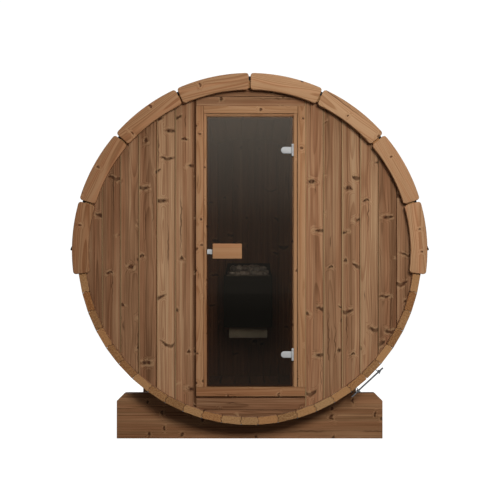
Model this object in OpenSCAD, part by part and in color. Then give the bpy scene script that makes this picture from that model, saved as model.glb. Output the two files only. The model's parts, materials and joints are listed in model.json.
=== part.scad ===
// Barrel sauna: a stave barrel on two cradles, with a glass door in the front wall.
// Units are millimetres. +Z is up, the front faces -Y, and the ground is z = 0.
// The origin is on the ground, under the middle of the barrel.

/* [Barrel] */
// Outside diameter over the stave joints
barrel_d = 1948; // [1900:2:1960]
// Thickness of the staves and of both end walls
wall_t = 42; // [38:1:44]
// Length of the staves
barrel_l = 2350; // [2000:10:2400]
// Height of the barrel's axis above the ground
axis_h = 1082; // [1070:1:1100]
// Number of staves, with the narrow closing stave at the bottom
stave_count = 54; // [54:1:54]
// Angle that the narrow closing stave takes up
closing_angle = 5.6; // [5:0.1:6.4]

/* [End trims] */
// Outside radius of the trim arcs
trim_r = 1001; // [990:1:1010]
// Width of a trim arc across the grain
trim_w = 94; // [80:1:110]
// Thickness of a trim arc
trim_t = 28; // [20:1:34]
// Height of the trims' centre above the barrel's axis
trim_lift = 10; // [0:1:15]
// Angle from the start of one arc to the start of the next
trim_pitch = 24.5; // [24:0.1:24.8]
// Angle that one arc spans
trim_span = 23.9; // [23:0.1:23.9]
// Number of arcs round each end
trim_count = 8; // [4:2:8]

/* [End walls] */
// Depth of the end walls inside the stave ends
wall_inset = 50; // [40:1:80]
// Width of the door bay between the wall boards
bay_w = 640; // [636:2:660]
// Depth of the groove beside the left jamb
groove_d = 14; // [8:1:20]

/* [Door] */
// Bottom of the door frame above the ground
frame_z = 266; // [258:1:280]
// Height of the door frame
frame_h = 1651; // [1500:1:1660]
// Left edge of the door frame
frame_left = -305; // [-310:1:-300]
// Right edge of the door frame
frame_right = 316; // [312:1:318]
// Width of the frame's face at both sides and at the top
frame_face = 43; // [38:1:46]
// Height of the frame's bottom rail
rail_h = 53; // [44:1:60]
// How far the frame stands proud of the wall boards
frame_proud = 12; // [8:1:20]
// Thickness of the face boards, which the lining stands back by
face_t = 7; // [5:1:7]
// How far the lining shows inside the side face boards
lining_show = [15, 22]; // [12:1:24]
// How far the lining shows below the top face board
lining_top = 12; // [10:1:20]
// How far the stops stand into the opening: left, right, top and bottom
stop_w = [15, 22, 16, 16]; // [12:1:24]
// Depth of the stops behind the frame's face
rebate_d = 24; // [24:1:28]
// Gap round the glass
glass_gap = 5.3; // [5.3:0.1:6]
// Thickness of the glass
glass_t = 8; // [6:1:8]
// Depth of the glass behind the frame's face
glass_set = 10; // [8:1:10]
// Height of the upper hinge above the ground
hinge_top_z = 1666; // [1500:1:1720]
// Height of the lower hinge above the ground
hinge_low_z = 504; // [430:1:620]
// Radius of a hinge's knuckle
knuckle_r = 6.8; // [6:0.1:7]
// Length of a hinge's knuckle
knuckle_h = 70; // [60:1:80]
// Height of a hinge's leaf, which is also its round end's diameter
leaf_h = 37; // [30:1:40]
// Length of a hinge's leaf
leaf_w = 66; // [50:1:80]
// Width, height and thickness of the wooden handle
handle_size = [167, 86, 26]; // [20:1:200]
// Height of the handle's centre above the ground
handle_z = 1091; // [1020:1:1120]
// Distance from the edge of the glass to the handle, which the catch takes up
catch_w = 31; // [20:1:60]

/* [Heater] */
// Width, depth and height of the heater's case
heater_size = [353, 270, 384]; // [250:1:420]
// Bottom of the heater's case above the ground
heater_z = 604; // [560:1:700]
// Height of the stones that stand out of the case
stone_h = 89; // [60:1:110]
// Width, depth and height of the control box under the case
control_size = [279, 150, 79]; // [50:1:300]

/* [Floor] */
// Top of the slatted floor above the ground
deck_z = 232; // [232:1:260]
// Number of floor slats
slat_count = 6; // [4:1:6]
// Width and thickness of a floor slat
slat = [94, 26]; // [20:1:94]
// Gap between floor slats
slat_gap = 10; // [8:1:10]
// Number of bearers under the slats
bearer_count = 4; // [3:1:5]

/* [Cradles] */
// Width of a cradle
cradle_w = 1560; // [1460:10:1700]
// Height of a cradle
cradle_h = 266; // [250:1:300]
// Thickness of a cradle along the barrel
cradle_t = 90; // [60:1:120]
// Distance from the stave ends to a cradle's face
cradle_set = 260; // [60:10:400]
// Length of the cut across a cradle's top corners
cradle_cut = 45; // [30:1:80]
// Distance from the middle to a side rail's outer face
rail_x = 605; // [590:1:620]
// Thickness and height of a side rail
side_rail = [45, 120]; // [30:1:160]

/* [Bands] */
// Width and thickness of a steel band
band = [20, 2]; // [1:1:30]
// Distance from the stave ends to a band's middle line
band_set = 30; // [20:1:40]
// Direction of the tensioner from the axis, below the horizontal
tension_angle = 47.2; // [45:0.1:50]
// Distance from the barrel's axis to the tensioning rod
rod_r_from_axis = 993; // [990:1:1000]
// Radius of the tensioning rod
rod_r = 5; // [4:0.5:6]
// Distance of each band ear from the tensioner's middle
ear_at = 75; // [60:1:80]
// How far the rod runs past the middle, downwards and upwards
rod_ends = [131, 112]; // [100:1:140]

/* [Roof cover] */
// Outside radius of the roof cover, about the trims' centre
cover_r = 986; // [984:0.5:990]
// Height of the cover's hem above the axis, in degrees
cover_from = 4.5; // [3:0.1:8]
// Distance from the middle to the tip of the drip edge
drip_x = 1013; // [1005:1:1020]
// Height of the drip edge's tip above the barrel's axis
drip_z = 14; // [10:1:30]

/* [Hidden] */
barrel_r = barrel_d / 2;
inner_r = barrel_r - wall_t;
full_pitch = (360 - closing_angle) / (stave_count - 1);
end_y = barrel_l / 2;
wall_y = end_y - wall_inset;
frame_top = frame_z + frame_h;
face_y = -wall_y - frame_proud;
stop_y = face_y + rebate_d;
wall_in_y = -wall_y + wall_t;
glass_y = face_y + glass_set;
lining_y = face_y + face_t;
casing_x = [frame_left + frame_face, frame_right - frame_face];
casing_z = [frame_z + rail_h, frame_top - frame_face];
opening_x = [casing_x[0] + lining_show[0], casing_x[1] - lining_show[1]];
opening_z = [casing_z[0], casing_z[1] - lining_top];
stop_x = [opening_x[0] + stop_w[0], opening_x[1] - stop_w[1]];
stop_z = [opening_z[0] + stop_w[3], opening_z[1] - stop_w[2]];
glass_x = [opening_x[0] + glass_gap, opening_x[1] - glass_gap];
glass_z = [opening_z[0] + glass_gap, opening_z[1] - glass_gap];
pivot_x = glass_x[1] - 1.2;
pivot_y = glass_y - knuckle_r - 2.2;
pin_r = 3;
pin_gap = 0.1;
knuckle_gap = 0.5;
leaf_t = 5;
plate_t = 2.3;
plate_back = stop_y - 2;
back_leaf_t = 4;
back_leaf_gap = 6;
catch_h = 27;
catch_drop = 2;
catch_t = 8;
catch_plate_t = 3;
cover_set = 1;
drip_lip = [5, 7];
channel_gap = [1, 0.5];
sheet_t = 4;
ear_end = 12;
hole_gap = 0.5;
hole_l = 400;
washer_r = 10;
washer_t = 2.5;
nut_t = 8;
nut_af = 17;
rail_up = 30;
rail_room = 60;
deck_gap = 15;
bearer_w = 40;
bearer_in = 60;
heater_x = -11;
heater_gap = 40;
case_wall = 20;
well_depth = 60;
bracket = [180, 160];
bracket_up = 100;
stones_in = 21;
heap_in = 18;
heap_over = 4;
over = 1;
far = 3000;

SIDE_SETS = 6;
SIDE_STAVES = 4;
STAVE_SETS = concat(
    [["staves_bottom", -2, 1], ["staves_top", 25, 28]],
    [for (i = [1:SIDE_SETS]) [str("staves_right_", i), 1 + SIDE_STAVES * (i - 1), 1 + SIDE_STAVES * i]],
    [for (i = [1:SIDE_SETS]) [str("staves_left_", i), 52 - SIDE_STAVES * i, 56 - SIDE_STAVES * i]]);
TRIMS = [for (i = [0:trim_count - 1]) str("front_trim_", i + 1)];

wood = [0.56, 0.38, 0.25];
light_wood = [0.70, 0.49, 0.32];
steel = [0.62, 0.64, 0.66];
chrome = [0.82, 0.83, 0.85];
black = [0.07, 0.07, 0.07];

// Angle of a stave joint, counted upwards from the right of the closing stave and downwards below it.
function joint_angle(k) = k >= 0
    ? -90 + closing_angle / 2 + k * full_pitch
    : -90 - closing_angle / 2 + (k + 1) * full_pitch;

function at(r, a) = [r * cos(a), r * sin(a)];

function ring_points(r, first, last) = [for (k = [first:last]) at(r, joint_angle(k))];

function reversed(points) = [for (i = [1:len(points)]) points[len(points) - i]];

// The direction that the flat after joint k faces.
function flat_angle(k) = joint_angle(k) + full_pitch / 2;

// The point on the flat after joint k, in direction a.
function flat_point(r, k, a) = at(r * cos(full_pitch / 2) / cos(a - flat_angle(k)), a);

// Stands a flat XY outline up across the barrel, from y = low to y = high, about the barrel's axis.
module across(low, high) {
    translate([0, high, axis_h]) rotate([90, 0, 0]) linear_extrude(high - low) children();
}

// Copies a part to the other end of the barrel.
module at_rear() {
    mirror([0, 1, 0]) children();
}

module block(x, y, z) {
    translate([x[0], y[0], z[0]]) cube([x[1] - x[0], y[1] - y[0], z[1] - z[0]]);
}

module barrel_outline(r) {
    polygon(ring_points(r, 0, stave_count - 1));
}

module staves(first, last) {
    color(wood) across(-end_y, end_y)
        polygon(concat(
            ring_points(barrel_r, first, last),
            reversed(ring_points(inner_r, first, last))));
}

module trim_arc(i) {
    start = 90 - trim_count / 2 * trim_pitch + i * trim_pitch + (trim_pitch - trim_span) / 2;
    color(light_wood) translate([0, -end_y, axis_h + trim_lift]) rotate([90, 0, 0])
        rotate([0, 0, start]) rotate_extrude(angle = trim_span, $fn = 180)
            translate([trim_r - trim_w, 0]) square([trim_w, trim_t]);
}

module back_trims() {
    at_rear() for (i = [0:trim_count - 1]) trim_arc(i);
}

// The round end wall between two heights and two sides, as flat boards laid in the staves.
module wall_piece(x, z, y = [-wall_y, -wall_y + wall_t]) {
    intersection() {
        across(y[0], y[1]) barrel_outline(inner_r);
        block(x, y, z);
    }
}

// The last board's tongue shows as a groove beside the left jamb.
module front_wall_left() {
    color(wood) {
        wall_piece([-far, -bay_w / 2], [0, far]);
        wall_piece([-bay_w / 2, frame_left], [0, far], [-wall_y + groove_d, -wall_y + wall_t]);
    }
}

module front_wall_right() {
    color(wood) wall_piece([frame_right, far], [0, far]);
}

module front_wall_header() {
    color(wood) wall_piece([frame_left, frame_right], [frame_top, far]);
}

module front_wall_sill() {
    color(wood) wall_piece([frame_left, frame_right], [0, frame_z]);
}

module back_wall() {
    color(wood) at_rear() wall_piece([-far, far], [0, far]);
}

// One side of the frame: a face board, the lining behind it and the stop behind that.
module door_jamb_left() {
    color(light_wood) {
        block([frame_left, casing_x[0]], [face_y, lining_y], [frame_z, frame_top]);
        block([frame_left, opening_x[0]], [lining_y, stop_y], [frame_z, frame_top]);
        block([frame_left, stop_x[0]], [stop_y, wall_in_y], [frame_z, frame_top]);
    }
}

module door_jamb_right() {
    color(light_wood) {
        block([casing_x[1], frame_right], [face_y, lining_y], [frame_z, frame_top]);
        block([opening_x[1], frame_right], [lining_y, stop_y], [frame_z, frame_top]);
        block([stop_x[1], frame_right], [stop_y, wall_in_y], [frame_z, frame_top]);
    }
}

module door_head() {
    color(light_wood) {
        block(casing_x, [face_y, lining_y], [casing_z[1], frame_top]);
        block(opening_x, [lining_y, stop_y], [opening_z[1], frame_top]);
        block(stop_x, [stop_y, wall_in_y], [stop_z[1], frame_top]);
    }
}

module door_sill() {
    color(light_wood) {
        block(casing_x, [face_y, lining_y], [frame_z, casing_z[0]]);
        block(opening_x, [lining_y, stop_y], [frame_z, opening_z[0]]);
        block(stop_x, [stop_y, wall_in_y], [frame_z, stop_z[0]]);
    }
}

module knuckle(low, high) {
    translate([pivot_x, pivot_y, low]) cylinder(r = knuckle_r, h = high - low, $fn = 48);
}

// The fixed half of a hinge: a plate on the lining's edge, the upper and lower knuckles and the pin.
module hinge_plate(z) {
    low = z - knuckle_h / 2;
    high = z + knuckle_h / 2;
    leaf_low = z - leaf_h / 2 - knuckle_gap;
    leaf_high = z + leaf_h / 2 + knuckle_gap;
    x = [opening_x[1] - plate_t, opening_x[1]];
    color(chrome) {
        knuckle(low, leaf_low);
        knuckle(leaf_high, high);
        translate([pivot_x, pivot_y, low]) cylinder(r = pin_r, h = knuckle_h, $fn = 48);
        block(x, [pivot_y, plate_back], [low, leaf_low]);
        block(x, [pivot_y, plate_back], [leaf_high, high]);
        block(x, [pivot_y + knuckle_r + knuckle_gap, plate_back], [low, high]);
    }
}

module hinge_plates() {
    hinge_plate(hinge_top_z);
    hinge_plate(hinge_low_z);
}

module round_ended(right, w, y, z) {
    translate([right - w + leaf_h / 2, y[1], z]) rotate([90, 0, 0])
        cylinder(d = leaf_h, h = y[1] - y[0], $fn = 64);
    block([right - w + leaf_h / 2, right], y, [z - leaf_h / 2, z + leaf_h / 2]);
}

// The moving half of a hinge: round-ended clamps on both faces of the glass, and the middle knuckle.
module hinge_leaf(z) {
    back_right = stop_x[1] - back_leaf_gap;
    back = glass_y + glass_t;
    color(chrome) {
        difference() {
            union() {
                round_ended(pivot_x, leaf_w, [glass_y - leaf_t, glass_y], z);
                knuckle(z - leaf_h / 2, z + leaf_h / 2);
            }
            translate([pivot_x, pivot_y, z - leaf_h])
                cylinder(r = pin_r + pin_gap, h = 2 * leaf_h, $fn = 48);
        }
        round_ended(back_right, back_right - pivot_x + leaf_w, [back, back + back_leaf_t], z);
    }
}

module hinge_leaves() {
    hinge_leaf(hinge_top_z);
    hinge_leaf(hinge_low_z);
}

module door_glass() {
    color([0.25, 0.23, 0.21]) block(glass_x, [glass_y, glass_y + glass_t], glass_z);
}

// A wooden grip on each face of the glass.
module door_handle() {
    x = [glass_x[0] + catch_w, glass_x[0] + catch_w + handle_size[0]];
    z = [handle_z - handle_size[1] / 2, handle_z + handle_size[1] / 2];
    color(light_wood) {
        block(x, [glass_y - handle_size[2], glass_y], z);
        block(x, [glass_y + glass_t, glass_y + glass_t + handle_size[2]], z);
    }
}

// The catch: a block at the edge of the glass, on a thin plate that runs to the handle, and a plate
// behind.
module door_latch() {
    z = [handle_z - catch_h / 2 - catch_drop, handle_z + catch_h / 2 - catch_drop];
    middle = glass_x[0] + catch_w / 2;
    color(chrome) {
        block([glass_x[0], middle], [glass_y - catch_t, glass_y], z);
        block([middle, glass_x[0] + catch_w], [glass_y - catch_plate_t, glass_y], z);
        block([middle, glass_x[0] + catch_w], [glass_y + glass_t, glass_y + glass_t + leaf_t], z);
    }
}

// The room that a band takes up under the roof cover.
module band_channel(y) {
    half = band[0] / 2 + channel_gap[0];
    across(y - half, y + half) barrel_outline(barrel_r + band[1] + channel_gap[1]);
}

// The padded sheet over the upper half, which the trims end, with a drip edge that kicks out past them
// on each side.
module roof_cover() {
    first = ceil((cover_from - joint_angle(0)) / full_pitch);
    last = stave_count - 1 - first;
    lift = [0, trim_lift];
    tip = [drip_x, drip_z];
    edge = [flat_point(barrel_r, first - 1, cover_from), tip - [drip_lip[0], 0],
            tip, tip + [0, drip_lip[1]],
            at(cover_r, cover_from) + lift];
    color(black) difference() {
        across(-end_y + cover_set, end_y - cover_set) polygon(concat(
            edge,
            [for (k = [first:last]) at(cover_r, joint_angle(k)) + lift],
            [for (i = [1:len(edge)]) [-edge[len(edge) - i][0], edge[len(edge) - i][1]]],
            reversed(ring_points(barrel_r, first, last))));
        band_channel(-end_y + band_set);
        band_channel(end_y - band_set);
    }
}

// A point given by its distance out of the barrel and its distance along the tensioner's rod.
function by_rod(out, along) = [
    out * cos(tension_angle) + along * sin(tension_angle),
    along * cos(tension_angle) - out * sin(tension_angle)];

// The point on the flat after joint k, at a distance along the tensioner's rod.
function ear_foot(r, k, along) =
    let (turn = flat_angle(k) + tension_angle)
    by_rod((r * cos(full_pitch / 2) - along * sin(turn)) / cos(turn), along);

// One hoop with its ends bent out as ears for the tensioning rod.
module band_hoop() {
    y = -end_y + band_set;
    last = stave_count - 1;
    k = floor((-tension_angle - joint_angle(0)) / full_pitch);
    outer = barrel_r + band[1];
    ear_top = rod_r_from_axis + ear_end;
    near = ear_at - sheet_t / 2;
    far_side = ear_at + sheet_t / 2;
    color(steel) difference() {
        across(y - band[0] / 2, y + band[0] / 2) polygon(concat(
            [ear_foot(barrel_r, k + 1, near), by_rod(ear_top, near), by_rod(ear_top, far_side),
             ear_foot(outer, k + 1, far_side)],
            ring_points(outer, k + 2, last),
            ring_points(outer, 0, k),
            [ear_foot(outer, k, -far_side), by_rod(ear_top, -far_side), by_rod(ear_top, -near),
             ear_foot(barrel_r, k, -near)],
            reversed(ring_points(barrel_r, 0, k)),
            reversed(ring_points(barrel_r, k + 2, last))));
        tensioner_frame() rotate([90, 0, 0])
            cylinder(r = rod_r + hole_gap, h = hole_l, center = true, $fn = 48);
    }
}

// Turns to the tensioner: X points out of the barrel and Y along the rod, from the rod's middle.
module tensioner_frame() {
    translate([0, -end_y + band_set, axis_h]) rotate([90, 0, 0]) rotate([0, 0, -tension_angle])
        translate([rod_r_from_axis, 0, 0]) children();
}

// A threaded rod with a nut and washer outside each ear.
module tensioner() {
    ear_out = ear_at + sheet_t / 2;
    color(steel) tensioner_frame() rotate([-90, 0, 0]) {
        translate([0, 0, -rod_ends[0]]) cylinder(r = rod_r, h = rod_ends[0] + rod_ends[1], $fn = 48);
        for (side = [0, 1]) mirror([0, 0, side]) {
            translate([0, 0, ear_out]) cylinder(r = washer_r, h = washer_t, $fn = 48);
            translate([0, 0, ear_out + washer_t])
                cylinder(r = nut_af / 2 / cos(30), h = nut_t, $fn = 6);
        }
    }
}

module cradle() {
    y = [-end_y + cradle_set, -end_y + cradle_set + cradle_t];
    half = cradle_w / 2;
    color(wood) difference() {
        translate([0, y[1], 0]) rotate([90, 0, 0]) linear_extrude(cradle_t)
            polygon([[-half, 0], [half, 0],
                     [half, cradle_h - cradle_cut], [half - cradle_cut, cradle_h],
                     [-half + cradle_cut, cradle_h], [-half, cradle_h - cradle_cut]]);
        across(y[0] - over, y[1] + over) barrel_outline(barrel_r);
    }
}

// Two rails that join the cradles and back the barrel's lower sides.
module cradle_rails() {
    y = end_y - cradle_set - cradle_t;
    z = [cradle_h + rail_up - side_rail[1], cradle_h + rail_room];
    color(wood) for (side = [-1, 1]) scale([side, 1, 1]) difference() {
        block([rail_x - side_rail[0], rail_x], [-y, y], z);
        across(-y - over, y + over) barrel_outline(barrel_r);
    }
}

// Slats along the barrel on bearers that lie across its bottom.
module floor_deck() {
    length = 2 * (wall_y - wall_t - deck_gap);
    pitch = slat[0] + slat_gap;
    half = (slat_count * pitch - slat_gap) / 2;
    under = deck_z - slat[1];
    first = -length / 2 + bearer_in;
    step = (length - 2 * bearer_in - bearer_w) / (bearer_count - 1);
    color(light_wood) {
        for (i = [0:slat_count - 1]) translate([-half + i * pitch, -length / 2, under])
            cube([slat[0], length, slat[1]]);
        for (i = [0:bearer_count - 1]) intersection() {
            block([-half, half],
                  [first + i * step, first + i * step + bearer_w],
                  [axis_h - inner_r, under]);
            across(-length, length) barrel_outline(inner_r);
        }
    }
}

function heater_back() = wall_y - wall_t - heater_gap;

// The case hangs on a bracket from the back wall.
module heater_case() {
    y = [heater_back() - heater_size[1], heater_back()];
    x = [heater_x - heater_size[0] / 2, heater_x + heater_size[0] / 2];
    top = heater_z + heater_size[2];
    inside = [case_wall, -case_wall];
    bracket_x = [heater_x - bracket[0] / 2, heater_x + bracket[0] / 2];
    bracket_z = [heater_z + bracket_up, heater_z + bracket_up + bracket[1]];
    color([0.13, 0.13, 0.12]) {
        difference() {
            block(x, y, [heater_z, top]);
            block(x + inside, y + inside, [top - well_depth, top + over]);
        }
        block(bracket_x, [y[1], y[1] + heater_gap], bracket_z);
    }
}

// The stones fill the top of the case and heap above it.
module heater_stones() {
    w = heater_size[0] - 2 * stones_in;
    d = heater_size[1] - 2 * stones_in;
    rim = heater_z + heater_size[2];
    color([0.36, 0.35, 0.33]) translate([heater_x, heater_back() - heater_size[1] / 2, rim]) hull() {
        translate([-w / 2, -d / 2, -well_depth]) cube([w, d, well_depth + heap_over]);
        translate([-w / 2 + heap_in, -d / 2 + heap_in, 0])
            cube([w - 2 * heap_in, d - 2 * heap_in, stone_h]);
    }
}

module heater_control() {
    x = [heater_x - control_size[0] / 2, heater_x + control_size[0] / 2];
    y = heater_back() - heater_size[1] / 2;
    color([0.42, 0.41, 0.36])
        block(x,
              [y - control_size[1] / 2, y + control_size[1] / 2],
              [heater_z - control_size[2], heater_z]);
}

for (s = STAVE_SETS) staves(s[1], s[2]);
for (i = [0:trim_count - 1]) trim_arc(i);
back_trims();
front_wall_left();
front_wall_right();
front_wall_header();
front_wall_sill();
back_wall();
door_jamb_left();
door_jamb_right();
door_head();
door_sill();
hinge_plates();
hinge_leaves();
door_glass();
door_handle();
door_latch();
roof_cover();
band_hoop();  // band_front
at_rear() band_hoop();  // band_rear
tensioner();  // tensioner_front
at_rear() tensioner();  // tensioner_rear
cradle();  // cradle_front
at_rear() cradle();  // cradle_rear
cradle_rails();
floor_deck();
heater_case();
heater_stones();
heater_control();
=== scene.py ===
"""A barrel sauna: the looks of every board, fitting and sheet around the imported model."""
import json
import math
import random

import bmesh
import bpy
import numpy as np
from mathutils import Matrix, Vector


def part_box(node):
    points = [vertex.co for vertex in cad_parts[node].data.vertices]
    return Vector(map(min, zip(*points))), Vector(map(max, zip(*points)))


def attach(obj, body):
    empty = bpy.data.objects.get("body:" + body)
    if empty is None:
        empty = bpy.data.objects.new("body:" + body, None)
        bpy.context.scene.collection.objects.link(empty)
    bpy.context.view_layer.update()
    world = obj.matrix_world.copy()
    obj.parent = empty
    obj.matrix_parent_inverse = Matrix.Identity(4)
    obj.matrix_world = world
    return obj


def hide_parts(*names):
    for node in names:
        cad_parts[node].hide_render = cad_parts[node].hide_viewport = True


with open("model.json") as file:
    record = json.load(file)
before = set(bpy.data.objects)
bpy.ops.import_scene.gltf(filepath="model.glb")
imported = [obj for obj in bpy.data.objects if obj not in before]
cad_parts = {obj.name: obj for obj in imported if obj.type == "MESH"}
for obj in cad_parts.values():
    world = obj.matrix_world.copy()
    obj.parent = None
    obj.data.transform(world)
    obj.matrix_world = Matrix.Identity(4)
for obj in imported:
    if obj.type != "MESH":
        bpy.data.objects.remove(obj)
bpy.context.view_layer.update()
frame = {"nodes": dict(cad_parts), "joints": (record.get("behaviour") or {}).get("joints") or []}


def spans(node):
    """The (low, high) pairs of a CAD node's box along x, y and z."""
    return tuple(zip(*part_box(node)))


# ---- sizes, in metres

MM = 0.001
STAVES = 54
CLOSING = math.radians(5.6)  # the angle that the closing stave at the bottom takes up
PITCH = (2 * math.pi - CLOSING) / (STAVES - 1)  # the angle that every other stave takes up
SIDE_SETS = 6
SIDE_STAVES = 4
TRIMS = 8
TRIM_LIFT = 10 * MM  # the trims' centre lies above the barrel's axis
TRIM_PITCH = math.radians(24.5)
TRIM_SPAN = math.radians(23.9)
TRIM_W = 94 * MM
BOARD_W = 104.2 * MM
SEAM = 0.9 * MM  # half the gap between neighbouring staves
STAVE_EDGE = 5 * MM  # the chamfer along each edge of a stave
GROOVE = 13 * MM  # how far the end walls' boards run into the staves

END_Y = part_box("staves_top")[1].y
BARREL_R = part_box("staves_right_3")[1].x
AXIS_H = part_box("staves_top")[1].z - BARREL_R * math.cos(PITCH / 2)
WALL_FRONT, WALL_BACK = spans("front_wall_right")[1]
INNER_R = BARREL_R - (WALL_BACK - WALL_FRONT)  # the staves are as thick as the walls
TRIM_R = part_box("front_trim_4")[1].z - AXIS_H - TRIM_LIFT

rng = random.Random(11)


# ---- making meshes


def arc(centre, radius, first, last, steps):
    """Points along an arc, both ends included; angles in radians."""
    angles = np.linspace(first, last, steps + 1)
    return np.column_stack([centre[0] + radius * np.cos(angles), centre[1] + radius * np.sin(angles)])


def inset(outline, distance):
    """Moves a closed anticlockwise outline inwards."""
    before = outline - np.roll(outline, 1, 0)
    after = np.roll(outline, -1, 0) - outline
    before /= np.linalg.norm(before, axis=1, keepdims=True)
    after /= np.linalg.norm(after, axis=1, keepdims=True)
    n1 = np.column_stack([-before[:, 1], before[:, 0]])
    n2 = np.column_stack([-after[:, 1], after[:, 0]])
    share = np.maximum(1 + (n1 * n2).sum(1, keepdims=True), 0.4)
    return outline + distance * (n1 + n2) / share


def loft(rings, closed=False):
    """A solid through rings of the same number of points: capped, or closed up from the last ring to the first."""
    m, n = len(rings), len(rings[0])
    faces = []
    for i in range(m if closed else m - 1):
        for j in range(n):
            k, up = (j + 1) % n, (i + 1) % m
            faces.append((i * n + j, i * n + k, up * n + k, up * n + j))
    if not closed:
        faces.append(tuple(range(n - 1, -1, -1)))
        faces.append(tuple((m - 1) * n + j for j in range(n)))
    return np.vstack(rings), faces


def chamfer(size):
    """An edge profile for solid(): (inset, depth) pairs from the face inwards."""
    return [(size, 0.0), (0.0, size)]


def rounding(radius, steps=3):
    """A rounded edge profile for solid()."""
    turns = [math.pi / 2 * i / steps for i in range(steps + 1)]
    return [(radius * (1 - math.sin(a)), radius * (1 - math.cos(a))) for a in turns]


def solid(outline, low, high, edge, axis="y"):
    """An outline pushed along an axis, with both ends shaped by an edge profile.
    Along y the outline is (x, z); along z it is (x, y)."""
    outline = np.asarray(outline, float)
    levels = [(d, low + h) for d, h in edge] + [(d, high - h) for d, h in reversed(edge)]
    columns = (0, 2, 1) if axis == "y" else (0, 1, 2)
    rings = []
    for distance, level in levels:
        moved = inset(outline, distance) if distance else outline
        rings.append(np.column_stack([moved, np.full(len(moved), level)])[:, columns])
    return loft(rings)


def rectangle(x0, x1, z0, z1, radius=0.0, steps=3):
    """An anticlockwise rectangle, with rounded corners if radius is given."""
    if not radius:
        return np.array([(x0, z0), (x1, z0), (x1, z1), (x0, z1)])
    q = math.pi / 2
    corners = [((x0, z0), (1, 1), 2), ((x1, z0), (-1, 1), 3), ((x1, z1), (-1, -1), 0), ((x0, z1), (1, -1), 1)]
    return np.vstack([arc((c[0] + radius * s[0], c[1] + radius * s[1]), radius, t * q, (t + 1) * q, steps)
                      for c, s, t in corners])


def slab(x, y, z, edge, radius=0.0, steps=3):
    """A rectangle in x and z, pushed along y; each of the three is a (low, high) pair."""
    return solid(rectangle(*x, *z, radius, steps), *y, edge)


def circle_outline(radius, segments):
    return arc((0, 0), radius, 0, 2 * math.pi, segments)[:-1]


def ring(radius, z, segments):
    """Points round the z axis; radius is a number, or one for each point."""
    angles = np.arange(segments) * 2 * math.pi / segments
    return np.column_stack([radius * np.cos(angles), radius * np.sin(angles), np.full(segments, z)])


# Picks the sides for the painted highlight and painted shade on sloping edges.
def sloping(verts, faces, across):
    """1 or -1 for the faces that slope at about 45 degrees to one side or the other, 0 for the rest."""
    corners = verts[np.array([f[:3] for f in faces])]
    normals = np.cross(corners[:, 1] - corners[:, 0], corners[:, 2] - corners[:, 0])
    normals /= np.maximum(np.linalg.norm(normals, axis=1, keepdims=True), 1e-12)
    lean = normals @ across
    return np.sign(lean) * ((np.abs(lean) > 0.5) & (np.abs(lean) < 0.9))


class Build:
    """One piece's mesh: boards and solids, each with its own grain and tone."""

    def __init__(self):
        self.verts, self.faces, self.grain, self.tone, self.along, self.edge = [], [], [], [], [], []
        self.count = 0

    def add(self, shape, along="y", across="x", pith=None, tone=None, red=None, knots=0.5, pale=0.0):
        """along and across are axes or unit vectors. pith is how far the heart of the tree lies from the board."""
        verts, faces = shape
        a, c = (np.eye(3)["xyz".index(v)] if isinstance(v, str) else np.array(v, float) for v in (along, across))
        local = verts - (verts.min(0) + verts.max(0)) / 2
        heart = rng.uniform(0.02, 0.075) if pith is None else pith
        side = rng.choice((-1, 1))
        self.grain.append(np.column_stack([
            local @ a + rng.uniform(0, 80),
            local @ c + rng.uniform(-0.03, 0.03),
            local @ np.cross(a, c) + side * heart]))
        values = (rng.random() if tone is None else tone, rng.random() if red is None else red, knots)
        self.verts.append(verts)
        self.faces.extend(tuple(i + self.count for i in f) for f in faces)
        self.tone.append(np.tile(values, (len(verts), 1)))
        self.along.append(np.tile(a, (len(faces), 1)))
        # pale scales the painted light on the sloping edges: a painted highlight on one side, painted shade on the
        # other.
        self.edge.append(pale * sloping(verts, faces, c))
        self.count += len(verts)

    def piece(self, name, material, slot=None, body="cabin", sharp=35.0):
        """Makes the object. With a slot, it replaces the CAD node of its name. sharp is in degrees."""
        mesh = bpy.data.meshes.new(name)
        mesh.from_pydata(np.vstack(self.verts).tolist(), [], self.faces)
        normals = np.empty(len(mesh.polygons) * 3)
        mesh.polygons.foreach_get("normal", normals)
        facing = np.abs((normals.reshape(-1, 3) * np.vstack(self.along)).sum(1))
        for attribute, kind, domain, field, values in (
                ("grain", "FLOAT_VECTOR", "POINT", "vector", np.vstack(self.grain).ravel()),
                ("tone", "FLOAT_VECTOR", "POINT", "vector", np.vstack(self.tone).ravel()),
                ("cut", "FLOAT", "FACE", "value", np.clip((facing - 0.55) / 0.3, 0, 1)),
                ("edge", "FLOAT", "FACE", "value", np.concatenate(self.edge))):
            mesh.attributes.new(attribute, kind, domain).data.foreach_set(field, values)
        work = bmesh.new()
        work.from_mesh(mesh)
        bmesh.ops.recalc_face_normals(work, faces=work.faces)
        work.to_mesh(mesh)
        work.free()
        mesh.polygons.foreach_set("use_smooth", [True] * len(mesh.polygons))
        mesh.set_sharp_from_angle(angle=math.radians(sharp))
        mesh.materials.append(material)
        obj = bpy.data.objects.new(name, mesh)
        bpy.context.scene.collection.objects.link(obj)
        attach(obj, body)
        if slot:
            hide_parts(name)


def turned(shape, origin, *axes):
    """The same faces with the points taken to another origin and another three axes."""
    verts, faces = shape
    return verts @ np.array(axes, float) + origin, faces


# ---- materials


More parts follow.
